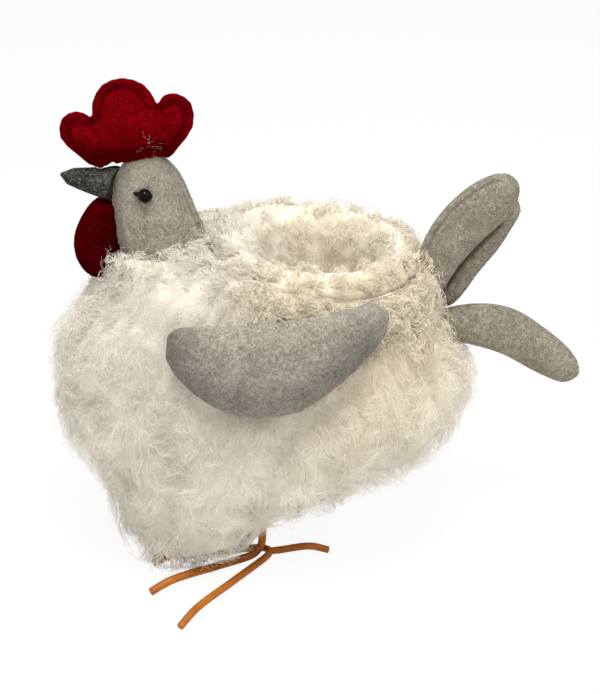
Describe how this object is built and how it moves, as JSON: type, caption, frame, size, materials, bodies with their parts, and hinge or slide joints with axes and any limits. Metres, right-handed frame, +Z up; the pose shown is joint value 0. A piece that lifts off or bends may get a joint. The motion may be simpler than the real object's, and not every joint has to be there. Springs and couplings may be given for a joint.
{
  "type": "hen-shaped egg collection basket",
  "caption": "Hen-shaped egg basket: curly pile body with a nest hollow in its back, felt head, comb, wings and tail, on bent wire feet.",
  "frame": {"origin": "on the floor, below the middle of the whole object's length and width", "axes": "+Z up; the hen looks along -X and its tail points to +X; its left side is -Y"},
  "size_m": [0.2656, 0.1912, 0.2365],
  "materials": {
    "curly_pile": "matte",
    "nest_pile": "matte",
    "grey_felt": "matte",
    "red_felt": "matte",
    "charcoal_felt": "matte",
    "wadding": "matte",
    "foam": "matte",
    "black_bead": "gloss",
    "ochre_wire": "satin"
  },
  "bodies": {
    "root": {"foam_form": "foam", "nest_lining": "nest_pile", "nest_floor_pad": "grey_felt", "pile_cover_left": "curly_pile", "pile_cover_right": "curly_pile", "head_left_panel": "grey_felt", "head_right_panel": "grey_felt", "head_wadding": "wadding", "comb_left_panel": "red_felt", "comb_right_panel": "red_felt", "comb_wadding": "wadding", "wattle_left_panel": "red_felt", "wattle_right_panel": "red_felt", "wattle_wadding": "wadding", "beak_left_panel": "charcoal_felt", "beak_right_panel": "charcoal_felt", "beak_wadding": "wadding", "eye_left": "black_bead", "eye_right": "black_bead", "tail_upper_left_outer_panel": "grey_felt", "tail_upper_left_inner_panel": "grey_felt", "tail_upper_left_wadding": "wadding", "tail_upper_right_outer_panel": "grey_felt", "tail_upper_right_inner_panel": "grey_felt", "tail_upper_right_wadding": "wadding", "tail_lower_left_panel": "grey_felt", "tail_lower_right_panel": "grey_felt", "tail_lower_wadding": "wadding", "leg_left_wire": "ochre_wire", "side_toes_left_wire": "ochre_wire", "hind_toe_left_wire": "ochre_wire", "leg_right_wire": "ochre_wire", "side_toes_right_wire": "ochre_wire", "hind_toe_right_wire": "ochre_wire"},
    "wing_left": {"wing_left_outer_panel": "grey_felt", "wing_left_inner_panel": "grey_felt", "wing_left_wadding": "wadding"},
    "wing_right": {"wing_right_outer_panel": "grey_felt", "wing_right_inner_panel": "grey_felt", "wing_right_wadding": "wadding"}
  },
  "joints": [
    {"name": "wing_left_lift", "type": "hinge", "parent": "root", "child": "wing_left", "pos_m": [-0.0229, -0.0725, 0.1504], "axis": [-0.9895, 0, -0.1444], "range_deg": [0, 45]},
    {"name": "wing_right_lift", "type": "hinge", "parent": "root", "child": "wing_right", "pos_m": [-0.0229, 0.0725, 0.1464], "axis": [0.9895, 0, 0.1444], "range_deg": [0, 45]}
  ]
}
